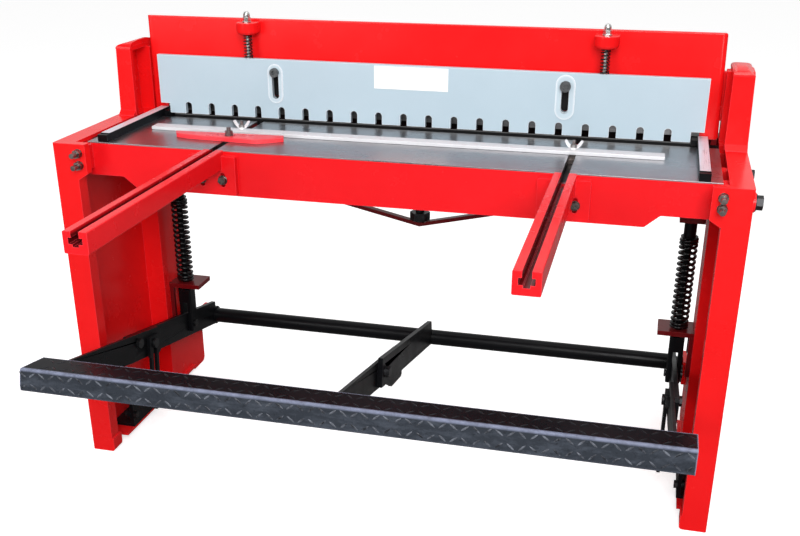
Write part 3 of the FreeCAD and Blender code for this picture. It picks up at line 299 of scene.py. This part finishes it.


# the red paints get a painted highlight in a lighter red along their rounded edges
RED_KIND = dict(rough=(0.20, 0.30), peel=0.05, coat=0.06, coat_rough=0.08, worn=(0.45, 0.20, 0.18), wear=0.25, dust=0.02,
                rim=0.55, rim_col=(0.95, 0.07, 0.10))
RED_TONES = ((0.84, 0.0085, 0.0100), (0.76, 0.0060, 0.0075), (0.90, 0.012, 0.014))
RED = paint("red_gloss", *RED_TONES, **RED_KIND)
RED_BEAM = paint("red_gloss_beam", *RED_TONES, extra=shade_behind_slots, **RED_KIND)
RED_ARM = paint("red_gloss_arm", (0.76, 0.0080, 0.0125), (0.68, 0.0058, 0.0090), (0.84, 0.011, 0.017), extra=shade_deep_in_slots,
                **RED_KIND)
# these two keep the default painted highlight along their rounded edges, in a lighter tone of their own red
RED_DARK = paint("dark_red_gloss", (0.15, 0.004, 0.006), (0.10, 0.003, 0.004), (0.22, 0.007, 0.009),
                 rough=(0.24, 0.38), coat=0.1, rim_col=(0.40, 0.02, 0.03))
RED_GAUGE = paint("gauge_red", (0.80, 0.040, 0.055), (0.70, 0.026, 0.036), (0.88, 0.07, 0.085), rough=(0.24, 0.36),
                  coat=0.1, rim_col=(0.95, 0.20, 0.24))
# the hold-down plate gets a strong painted near-white highlight along its rounded edges
GREY = paint("hold_down_grey", (0.425, 0.525, 0.590), (0.395, 0.495, 0.560), (0.455, 0.550, 0.615), rough=(0.34, 0.46),
             coat=0.12, coat_rough=0.2, peel=0.06, worn=(0.80, 0.80, 0.80), wear=0.8, dust=0.04,
             dust_col=(0.58, 0.55, 0.54), rim=0.85, rim_col=(0.88, 0.86, 0.88), extra=pads)
# black paint gets a faint bluish painted highlight along its rounded edges
BLACK = paint("black_semi_gloss", (0.0042, 0.0044, 0.0054), (0.0028, 0.0029, 0.0036), (0.0080, 0.0084, 0.0100),
              rough=(0.26, 0.38), coat=0.0, coat_rough=0.2, worn=(0.08, 0.076, 0.072), wear=0.30, dust=0.03,
              dust_col=(0.05, 0.045, 0.042), rim=0.45, rim_col=(0.020, 0.021, 0.027), gloss=0.13)
BLACK_COIL = paint("coil_black", (0.0040, 0.0040, 0.0048), (0.0026, 0.0026, 0.0032), (0.0085, 0.0085, 0.0100),
                   rough=(0.20, 0.32), coat=0.0, coat_rough=0.15, worn=(0.12, 0.11, 0.10), wear=0.0, dust=0.02,
                   dust_col=(0.06, 0.055, 0.05), rim=0.0, gloss=0.34)


def tread_wear_and_light(m, c):
    """Front face painted a little greyer than the top, a painted difference of light between the lit front and the
    darker top; scuffs and pits along it.
    """
    s = m.n("ShaderNodeSeparateXYZ")
    m.link(m.tc.outputs["Normal"], s.inputs[0])
    front = m.span(s.outputs[1], -0.5, -0.95, 0.0, 1.0)
    c = m.mix(m.math("MULTIPLY", front, 0.9), c, (0.033, 0.039, 0.050))
    scuff = m.noise(30.0, 7.0, 0.75, (0.5, 1, 1.4))
    c = m.mix(m.math("MULTIPLY", front, m.span(scuff, 0.47, 0.70, 0.0, 0.75)), c, (0.078, 0.090, 0.114))
    pit = m.noise(95.0, 4.0, 0.7)
    c = m.mix(m.math("MULTIPLY", front, m.span(pit, 0.56, 0.72, 0.0, 0.6)), c, (0.010, 0.011, 0.014))
    # feet wear the top front edge lighter, with a painted highlight along it
    _, y, z = m.xyz()
    away = m.math("MAXIMUM", m.math("SUBTRACT", y, -0.390), m.math("SUBTRACT", 0.407, z))
    rub_and_highlight = m.math("MULTIPLY", m.span(away, 0.0075, 0.0040, 0.0, 1.0), m.span(m.noise(60.0, 5.0, 0.7), 0.32, 0.60, 0.45, 0.95), True)
    return m.mix(rub_and_highlight, c, (0.185, 0.205, 0.290))


# the tread plate gets a strong bluish-grey painted highlight along its rounded edges
TREAD = paint("tread_dark_blue_grey", (0.0055, 0.0058, 0.0075), (0.0035, 0.0037, 0.0048), (0.011, 0.012, 0.015),
              rough=(0.22, 0.34), coat=0.0, coat_rough=0.2, worn=(0.34, 0.35, 0.42), wear=0.9, dust=0.02,
              dust_col=(0.05, 0.05, 0.055), rim=0.85, rim_col=(0.30, 0.32, 0.44), extra=tread_wear_and_light, gloss=0.11,
              edge_r=0.0050)


def lug_wear_and_highlight(m, c):
    """Lugs of the front face are lightened to grey in places, partly rubbed wear and partly a painted highlight where
    they catch the light; those on top stay nearly black.
    """
    front = m.span(m.xyz()[2], 0.4055, 0.4045, 0.0, 1.0)
    rub_and_highlight = m.span(m.noise(34.0, 5.0, 0.75), 0.40, 0.66, 0.05, 1.0)
    return m.mix(m.math("MULTIPLY", front, rub_and_highlight, True), c, (0.170, 0.185, 0.220))


LUG = paint("tread_lug", (0.010, 0.011, 0.014), (0.006, 0.0065, 0.008), (0.020, 0.022, 0.028), rough=(0.24, 0.36),
            coat=0.0, coat_rough=0.2, worn=(0.40, 0.41, 0.44), wear=0.0, dust=0.0, rim=0.0, extra=lug_wear_and_highlight, gloss=0.14)
def shadow_band_under_plate(m, c):
    """Painted shadow: a black band on the table under the hold-down plate, where the gap below the plate lies in
    shadow.
    """
    y = m.xyz()[1]
    wave = m.math("MULTIPLY", m.math("SUBTRACT", m.noise(30.0, 3.0, 0.6), 0.5), 0.003)
    shadow_band = m.span(m.math("ADD", y, wave), 0.3085, 0.3105, 0.0, 0.96)
    shadow_bsdf = m.n("ShaderNodeBsdfDiffuse")
    shadow_bsdf.inputs["Color"].default_value = (0.006, 0.006, 0.0065, 1.0)
    both = m.n("ShaderNodeMixShader")
    m.link(shadow_band, both.inputs[0])
    m.link(m.bsdf.outputs[0], both.inputs[1])
    m.link(shadow_bsdf.outputs[0], both.inputs[2])
    m.link(both.outputs[0], m.out.inputs[0])
    return c


TABLE = steel("ground_table", (0.350, 0.346, 0.364), (0.300, 0.297, 0.312), rough=(0.24, 0.32), grain=(0.3, 30, 1),
              grain_scale=42.0, stain=0.20, stain_col=(0.22, 0.205, 0.21), scratch=0.05, extra=shadow_band_under_plate)
# painted shade: the lower blade is a much darker copy of the tool steel, so the gap under the hold-down plate reads as
# shaded
LOWER = steel("lower_blade_steel", (0.030, 0.030, 0.032), (0.015, 0.015, 0.016), rough=(0.28, 0.42), grain=(0.3, 6, 14),
              grain_scale=40.0, stain=0.4, stain_col=(0.02, 0.018, 0.016), scratch=0.10, metallic=0.7)
BLADE = steel("tool_steel", (0.20, 0.20, 0.20), (0.12, 0.12, 0.12), rough=(0.28, 0.42), grain=(0.3, 6, 14),
              grain_scale=40.0, stain=0.4, stain_col=(0.06, 0.05, 0.045), scratch=0.10)
BRIGHT = steel("bright_bar", (0.70, 0.70, 0.72), (0.60, 0.60, 0.62), rough=(0.42, 0.52), grain=(0.2, 12, 12),
               grain_scale=45.0, stain=0.12, stain_col=(0.45, 0.42, 0.40), scratch=0.10, metallic=0.35)
def dark_hub(m, c):
    """The nut's bore and hub are darker than its wings."""
    x, _, z = m.xyz()
    for cx in (-398.0, 393.0):
        dx = m.math("ABSOLUTE", m.math("SUBTRACT", x, (cx + X_SHIFT) / 1000.0))
        hub = m.math("MULTIPLY", m.span(dx, 0.0078, 0.0070, 0.0, 1.0), m.span(z, 0.8120, 0.8130, 0.0, 1.0), True)
        c = m.mix(m.math("MULTIPLY", hub, 0.85), c, (0.070, 0.060, 0.058))
    return c


WHITE_ZINC = steel("bright_zinc", (0.80, 0.80, 0.82), (0.62, 0.62, 0.64), rough=(0.28, 0.40), grain=(1, 1, 1),
                   grain_scale=90.0, stain=0.15, stain_col=(0.40, 0.38, 0.36), scratch=0.10, metallic=0.30, extra=dark_hub)
ZINC = steel("zinc_plate", (0.72, 0.72, 0.71), (0.52, 0.52, 0.50), rough=(0.20, 0.34), grain=(1, 1, 1),
             grain_scale=90.0, stain=0.30, stain_col=(0.32, 0.29, 0.24), scratch=0.12)
NUT = steel("dull_zinc", (0.30, 0.26, 0.25), (0.11, 0.092, 0.088), rough=(0.28, 0.42), grain=(1, 1, 1),
            grain_scale=120.0, stain=0.4, stain_col=(0.10, 0.075, 0.06), scratch=0.15)
WIRE = steel("drawn_wire", (0.13, 0.13, 0.13), (0.06, 0.06, 0.06), rough=(0.25, 0.40), grain=(1, 1, 1),
             grain_scale=120.0, stain=0.3, stain_col=(0.05, 0.045, 0.04), scratch=0.10)
ARM_HEX = steel("bolt_head_brown", (0.20, 0.165, 0.155), (0.055, 0.042, 0.038), rough=(0.20, 0.34), grain=(1, 1, 1),
                grain_scale=150.0, stain=0.4, stain_col=(0.05, 0.035, 0.030), scratch=0.2)
OXIDE = steel("black_oxide", (0.040, 0.040, 0.043), (0.018, 0.018, 0.020), rough=(0.26, 0.44), grain=(1, 1, 1),
              grain_scale=110.0, stain=0.3, stain_col=(0.030, 0.022, 0.018), scratch=0.15, metallic=0.8)
PIN = steel("hold_down_bolt_steel", (0.13, 0.14, 0.145), (0.07, 0.075, 0.08), rough=(0.30, 0.42), grain=(1, 1, 1),
            grain_scale=110.0, stain=0.3, stain_col=(0.05, 0.045, 0.04), scratch=0.12, metallic=0.7)


def shade_behind_throat(m, c):
    """Painted shade: the rear support behind the throat is coloured near black so the throat reads as shade; the ribs
    stay red.
    """
    y = m.xyz()[1]
    return m.mix(m.span(y, 0.4435, 0.4437, 0.0, 1.0), c, (0.006, 0.006, 0.007))


RED_RIBS = paint("red_ribs", (0.70, 0.0080, 0.0100), (0.58, 0.0050, 0.0065), (0.80, 0.014, 0.016), rough=(0.30, 0.44),
                 peel=0.06, coat=0.1, coat_rough=0.2, wear=0.2, dust=0.0, rim=0.0, extra=shade_behind_throat)


def side_gauge_material():
    """Blackened bar whose top face is ground bright."""
    m = Mat("side_gauge_black_bright_top")
    lines = m.noise(46.0, 6.0, 0.7, (12, 0.25, 12))
    top = m.math("MULTIPLY", m.facing_up(0.90, 0.97), m.span(m.xyz()[2], 0.8162, 0.8172, 0.0, 1.0), True)
    black = m.ramp(m.noise(30.0, 4.0, 0.6), [(0.3, (0.0022, 0.0022, 0.0030)), (0.8, (0.0060, 0.0060, 0.0075))])
    bright = m.ramp(lines, [(0.3, (0.60, 0.58, 0.64)), (0.65, (0.74, 0.72, 0.78))])
    bright = m.mix(m.span(m.noise(7.0, 4.0, 0.6), 0.5, 0.8, 0.0, 0.5), bright, (0.34, 0.29, 0.28))
    m.color(m.mix(top, black, bright))
    m.link(m.math("MULTIPLY", top, 0.3), m.bsdf.inputs["Metallic"])
    m.set(Specular_IOR_Level=0.10)
    m.rough(m.math("ADD", m.span(lines, 0.3, 0.7, 0.26, 0.40), m.math("MULTIPLY", top, -0.02), True))
    m.normal(m.bump(lines, 0.08, 0.0002))
    return m.m


def plate_material():
    """Blank label plate: white film, a little uneven, slightly soiled at the rim."""
    m = Mat("blank_white_plate")
    c = m.ramp(m.noise(22.0, 5.0, 0.6), [(0.3, (0.80, 0.80, 0.80)), (0.7, (0.90, 0.90, 0.905))])
    c = m.mix(m.span(m.noise(300.0, 3.0, 0.6), 0.62, 0.72, 0.0, 0.18), c, (0.55, 0.56, 0.58))
    m.color(c)
    m.rough(m.span(m.noise(60.0, 4.0, 0.6), 0.3, 0.7, 0.30, 0.44))
    m.normal(m.bump(m.noise(90.0, 3.0, 0.5), 0.08, 0.0002))
    return m.m


GAUGE_BAR = side_gauge_material()
PLATE = plate_material()

look = {
    "side_frame_left": RED, "side_frame_right": RED, "frame_posts": RED, "table_plate": TABLE,
    "tee_slot_channels": BLACK, "table_apron": RED_ARM, "table_ribs": RED_RIBS, "rear_bed": RED, "beam_ribs": RED,
    "lower_blade": LOWER, "lower_blade_screws": OXIDE, "table_ear_bolts": NUT, "side_clamp_bolt": OXIDE,
    "side_lug_bolts": OXIDE, "truss_bar": RED_DARK, "truss_screw": OXIDE, "front_arm_left": RED_ARM,
    "front_arm_right": RED_ARM, "arm_bolts": ARM_HEX, "side_gauges": GAUGE_BAR, "side_gauge_screws": OXIDE,
    "spring_seats": RED_DARK, "tube_bearings": RED, "foot_brackets": BLACK, "bracket_bolts": OXIDE,
    "foot_studs": OXIDE, "guide_rails": RED, "blade_beam": RED_BEAM, "upper_blade": BLADE,
    "upper_blade_screws": OXIDE, "rod_lugs": RED, "hold_down_bolts": PIN, "drop_brackets": RED_DARK,
    "drop_bracket_bolts": OXIDE, "pull_rods": BLACK, "spring_sleeves": BLACK, "rod_clevises": BLACK,
    "return_springs": BLACK_COIL, "hold_down_plate": GREY, "blank_plate": PLATE, "hold_down_rods": ZINC,
    "cap_nuts": ZINC, "hold_down_springs": BLACK_COIL, "torque_tube": BLACK, "lever_stubs": BLACK,
    "side_arms": BLACK, "centre_arm_rear": BLACK, "centre_arm_front": BLACK, "arm_joint_bolts": OXIDE,
    "treadle_bar": TREAD, "clevis_pins": OXIDE, "link_pins": OXIDE, "stop_link_left": BLACK,
    "stop_link_right": BLACK, "stop_bar": BRIGHT, "stop_bar_bolts": NUT, "wing_nut_left": WHITE_ZINC,
    "wing_nut_right": WHITE_ZINC, "angle_gauge": RED_GAUGE, "gauge_bolt": NUT,
}
missing = sorted(set(nodes) ^ set(look))
if missing:
    raise RuntimeError("nodes without a look: %s" % missing)

# width of the broken edges in metres
soft = {
    "side_frame_left": 0.0022, "side_frame_right": 0.0022, "frame_posts": 0.0022, "table_apron": 0.0016,
    "front_arm_left": 0.0014, "front_arm_right": 0.0014, "blade_beam": 0.0018, "hold_down_plate": 0.0012,
    "table_plate": 0.0006, "treadle_bar": 0.0026, "angle_gauge": 0.0009, "stop_bar": 0.0005,
    "lower_blade": 0.0004, "upper_blade": 0.0004, "blank_plate": 0.0002, "wing_nut_left": 0.0006,
    "wing_nut_right": 0.0006, "gauge_bolt": 0.0005, "stop_bar_bolts": 0.0004, "guide_rails": 0.0008,
    "side_gauges": 0.0008, "truss_screw": 0.0012, "side_clamp_bolt": 0.0014,
}
no_bevel = {"return_springs", "hold_down_springs"}


def prepare(name, obj):
    me = obj.data
    me.materials.clear()
    me.materials.append(look[name])
    if me.has_custom_normals:
        a = me.attributes.get("custom_normal")
        if a is not None:
            me.attributes.remove(a)
    me.polygons.foreach_set("use_smooth", [True] * len(me.polygons))
    weld = obj.modifiers.new("weld", "WELD")
    weld.merge_threshold = 0.00002
    if name in no_bevel:
        return
    b = obj.modifiers.new("bevel", "BEVEL")
    b.width = soft.get(name, 0.0008)
    b.segments = 2
    b.limit_method = "ANGLE"
    b.angle_limit = math.radians(38)
    b.harden_normals = True
    b.use_clamp_overlap = True


for name, obj in nodes.items():
    prepare(name, obj)


# ------------------------------------------------------------------ raised lugs of the tread plate
BAR_LEFT, BAR_RIGHT, BAR_FRONT, BAR_BACK, BAR_BOTTOM, BAR_TOP = -702.0, 702.0, -404.0, -342.0, 351.8, 407.0
LUG_LEN, LUG_WIDE, LUG_HIGH, LUG_PITCH = 20.0, 4.6, 0.9, 22.0


def add_lug(bm, centre, along, across, out):
    """One lens-shaped lug with a rounded ridge; its rim sinks a little into the bar."""
    rings = []
    for width, height in ((1.0, -0.10), (0.80, 0.45), (0.50, 0.82), (0.18, 1.0)):
        ring = []
        for k in range(16):
            a = 2 * math.pi * k / 16
            u = math.cos(a) * LUG_LEN / 2 * (0.55 + 0.45 * width)
            v = math.sin(a) * abs(math.sin(a)) ** 0.35 * LUG_WIDE / 2 * width
            ring.append(bm.verts.new(centre + along * (u / 1000) + across * (v / 1000) + out * (height * LUG_HIGH / 1000)))
        rings.append(ring)
    for a, b in zip(rings, rings[1:]):
        for k in range(16):
            bm.faces.new((a[k], a[(k + 1) % 16], b[(k + 1) % 16], b[k]))
    bm.faces.new(rings[-1])


def make_lugs():
    rnd = random.Random(11)
    bm = bmesh.new()
    X, Y, Z = Vector((1, 0, 0)), Vector((0, 1, 0)), Vector((0, 0, 1))
    faces = ((P(0, BAR_FRONT, 0), Z, BAR_BOTTOM, BAR_TOP, -Y, 2), (P(0, 0, BAR_TOP), Y, BAR_FRONT, BAR_BACK, Z, 2))
    for base, up, low, high, out, rows in faces:
        for j in range(rows):
            level = low + (high - low) * (j + 0.5) / rows
            n = int((BAR_RIGHT - BAR_LEFT) / LUG_PITCH)
            for i in range(n):
                x = BAR_LEFT + (i + 0.5) * (BAR_RIGHT - BAR_LEFT) / n
                if out == Z and x < BAR_LEFT + 40:
                    continue
                s = 1 if (i + j) % 2 == 0 else -1
                ang = math.radians(40.0 * s + rnd.uniform(-4, 4))
                d = X * math.cos(ang) + up * math.sin(ang)
                w = X * -math.sin(ang) + up * math.cos(ang)
                c = Vector(base)
                c.x = (x + X_SHIFT) / 1000.0
                if out == Z:
                    c.y = (level + Y_SHIFT) / 1000.0
                else:
                    c.z = level / 1000.0
                add_lug(bm, c, d, w, out)
    me = bpy.data.meshes.new("tread_lugs")
    bmesh.ops.recalc_face_normals(bm, faces=bm.faces)
    bm.to_mesh(me)
    bm.free()
    me.polygons.foreach_set("use_smooth", [True] * len(me.polygons))
    me.materials.append(LUG)
    o = bpy.data.objects.new("tread_lugs", me)
    bpy.context.scene.collection.objects.link(o)
    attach(o, BODY_OF["treadle_bar"])
    return o


BODY_OF = {}
for body_name, names in (frame["record"].get("behaviour") or {}).get("bodies", {}).items():
    for n in names:
        BODY_OF[n] = body_name
make_lugs()


# ------------------------------------------------------------------ springs copied onto their joint's body
def compressing(name):
    """A coil in place of the drawing's rigid one: a welded copy of its mesh, attached to its joint's body, with the
    rigid one hidden.
    """
    me = nodes[name].data.copy()
    me.name = name + "_coil"
    bm = bmesh.new()
    bm.from_mesh(me)
    bmesh.ops.remove_doubles(bm, verts=bm.verts, dist=0.00002)
    bm.to_mesh(me)
    bm.free()
    me.polygons.foreach_set("use_smooth", [True] * len(me.polygons))
    o = bpy.data.objects.new(name + "_coil", me)
    bpy.context.scene.collection.objects.link(o)
    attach(o, BODY_OF[name])
    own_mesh(o)
    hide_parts(name)


compressing("return_springs")
compressing("hold_down_springs")


# ------------------------------------------------------------------ camera
def make_camera():
    yaw, pitch, roll = 0.24149, -0.41954, 0.00285
    f, ppx, ppy = 1030.517, 402.42, 332.03
    F = Vector((-math.sin(yaw) * math.cos(pitch), math.cos(yaw) * math.cos(pitch), math.sin(pitch)))
    r = Vector((math.cos(yaw), math.sin(yaw), 0.0))
    u = r.cross(F)
    R = math.cos(roll) * r + math.sin(roll) * u
    U = -math.sin(roll) * r + math.cos(roll) * u
    cam = bpy.data.cameras.new("camera")
    cam.type = "PERSP"
    cam.sensor_fit = "HORIZONTAL"
    cam.sensor_width = 36.0
    cam.lens = 36.0 * f / 800.0
    cam.shift_x = (400.0 - ppx) / 800.0
    cam.shift_y = (ppy - 268.0) / 800.0
    cam.clip_start, cam.clip_end = 0.05, 60.0
    o = bpy.data.objects.new("camera", cam)
    loc = Vector(((565.688 + X_SHIFT) / 1000.0, (-2121.007 + Y_SHIFT) / 1000.0, 1.372178))
    m = Matrix((R, U, -F)).transposed().to_4x4()
    m.translation = loc
    o.matrix_world = m
    bpy.context.scene.collection.objects.link(o)
    bpy.context.scene.camera = o


make_camera()


# ------------------------------------------------------------------ floor, world and lights
def make_stage():
    me = bpy.data.meshes.new("floor")
    s = 14.0
    me.from_pydata([(-s, -s, 0), (s, -s, 0), (s, s, 0), (-s, s, 0)], [], [(0, 1, 2, 3)])
    o = bpy.data.objects.new("floor", me)
    bpy.context.scene.collection.objects.link(o)
    m = Mat("pale_floor")
    tone = m.noise(0.6, 3.0, 0.5)
    m.color(m.ramp(tone, [(0.3, (0.24, 0.24, 0.24)), (0.7, (0.27, 0.27, 0.27))]))
    m.set(Roughness=0.9, Specular_IOR_Level=0.1)
    seen = m.n("ShaderNodeBsdfPrincipled")
    seen.inputs["Base Color"].default_value = (0.80, 0.80, 0.80, 1.0)
    seen.inputs["Roughness"].default_value = 0.9
    seen.inputs["Specular IOR Level"].default_value = 0.0
    seen.inputs["Emission Color"].default_value = (1.0, 1.0, 1.0, 1.0)
    seen.inputs["Emission Strength"].default_value = 0.62
    path = m.n("ShaderNodeLightPath")
    pick = m.n("ShaderNodeMixShader")
    m.link(path.outputs["Is Camera Ray"], pick.inputs[0])
    m.link(m.bsdf.outputs[0], pick.inputs[1])
    m.link(seen.outputs[0], pick.inputs[2])
    m.link(pick.outputs[0], m.out.inputs[0])
    me.materials.append(m.m)

    # soft room: bright wall behind the machine, dim room in front of it
    w = bpy.data.worlds.new("studio")
    bpy.context.scene.world = w
    w.use_nodes = True
    t = w.node_tree
    bg = t.nodes["Background"]
    bg.inputs[0].default_value = (1.0, 1.0, 1.0, 1.0)
    tc = t.nodes.new("ShaderNodeTexCoord")
    sep = t.nodes.new("ShaderNodeSeparateXYZ")
    t.links.new(tc.outputs["Generated"], sep.inputs[0])
    mr = t.nodes.new("ShaderNodeMapRange")
    mr.interpolation_type = "SMOOTHSTEP"
    for k, v in (("From Min", -0.35), ("From Max", 0.45), ("To Min", 0.16), ("To Max", 0.72)):
        mr.inputs[k].default_value = v
    t.links.new(sep.outputs[1], mr.inputs["Value"])
    path = t.nodes.new("ShaderNodeLightPath")
    mixer = t.nodes.new("ShaderNodeMix")
    mixer.inputs[3].default_value = 0.95
    t.links.new(path.outputs["Is Camera Ray"], mixer.inputs[0])
    t.links.new(mr.outputs[0], mixer.inputs[2])
    t.links.new(mixer.outputs[0], bg.inputs[1])


def area(name, loc, target, size, energy, color=(1, 1, 1), size_y=None):
    d = bpy.data.lights.new(name, "AREA")
    d.shape = "RECTANGLE" if size_y else "SQUARE"
    d.size = size
    if size_y:
        d.size_y = size_y
    d.energy = energy
    d.color = color
    o = bpy.data.objects.new(name, d)
    bpy.context.scene.collection.objects.link(o)
    o.location = loc
    o.rotation_euler = (Vector(target) - Vector(loc)).to_track_quat("-Z", "Y").to_euler()
    return o


make_stage()
area("key", (1.3, -3.4, 2.7), (0.0, 0.0, 0.55), 2.6, 190.0)
area("fill", (-2.2, -3.2, 1.8), (0.0, 0.0, 0.55), 2.0, 60.0)
area("top", (0.0, -0.2, 3.4), (0.0, 0.0, 0.6), 2.4, 30.0)

scene = bpy.context.scene
scene.view_settings.view_transform = "Standard"
scene.view_settings.look = "None"
scene.view_settings.exposure = 0.0
scene.view_settings.gamma = 1.0
